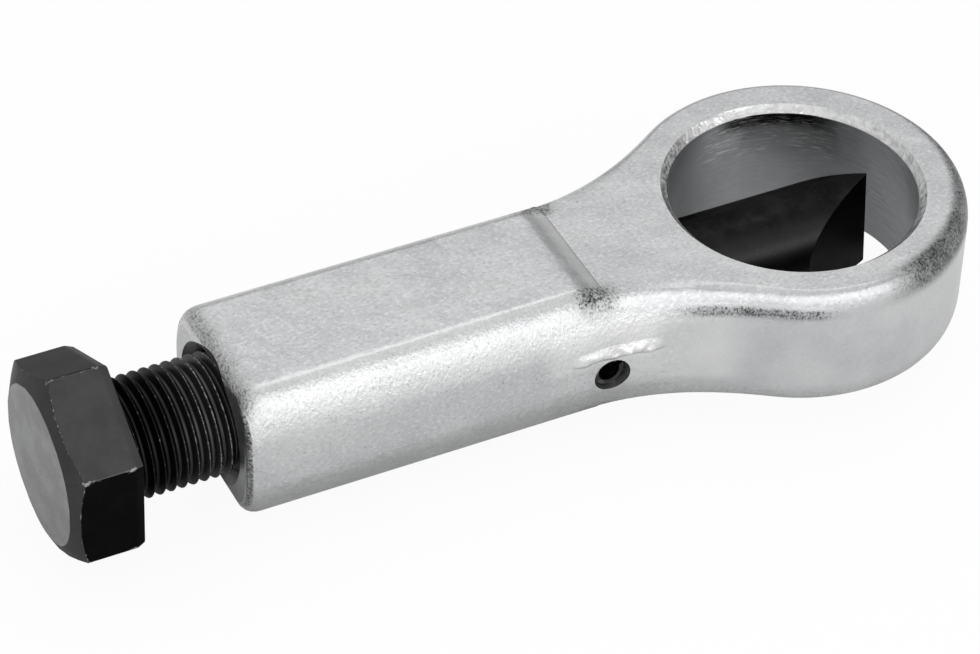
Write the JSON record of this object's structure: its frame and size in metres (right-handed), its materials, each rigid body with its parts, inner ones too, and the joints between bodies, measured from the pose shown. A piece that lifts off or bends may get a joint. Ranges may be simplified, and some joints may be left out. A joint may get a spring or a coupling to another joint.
{
  "type": "nut splitter",
  "caption": "Hand nut splitter: forged handle with a ring that goes over a seized nut, a hex-head pressure screw and a wedge-edged chisel guided by a spring pin.",
  "frame": {"origin": "centre of the nut ring, on the tool axis at half the ring's height", "axes": "+X along the tool axis from the screw's head to the ring, +Z along the axis of the nut ring, -Y towards the side with the spring pin"},
  "size_m": [0.13, 0.0458, 0.0276],
  "materials": {
    "zinc_forging": "satin zinc plating on a forged surface",
    "black_screw": "black oxide, satin",
    "black_chisel": "black oxide, satin",
    "spring_steel": "dark spring steel"
  },
  "bodies": {
    "frame": {"body": "zinc_forging", "guide_pin": "spring_steel"},
    "cutter": {"chisel": "black_chisel"},
    "drive": {"pressure_screw": "black_screw"}
  },
  "joints": [
    {"name": "chisel_slide", "type": "slide", "parent": "frame", "child": "cutter", "axis": [1, 0, 0], "range_m": [-0.0282, 0.0045]},
    {"name": "screw_turn", "type": "hinge", "parent": "cutter", "child": "drive", "pos_m": [-0.0972, 0, 0], "axis": [1, 0, 0], "range_deg": [-6770, 1082]}
  ],
  "couplings": [
    {"joint": "screw_turn", "follows": "chisel_slide", "rad_per_m": 4188.8}
  ]
}
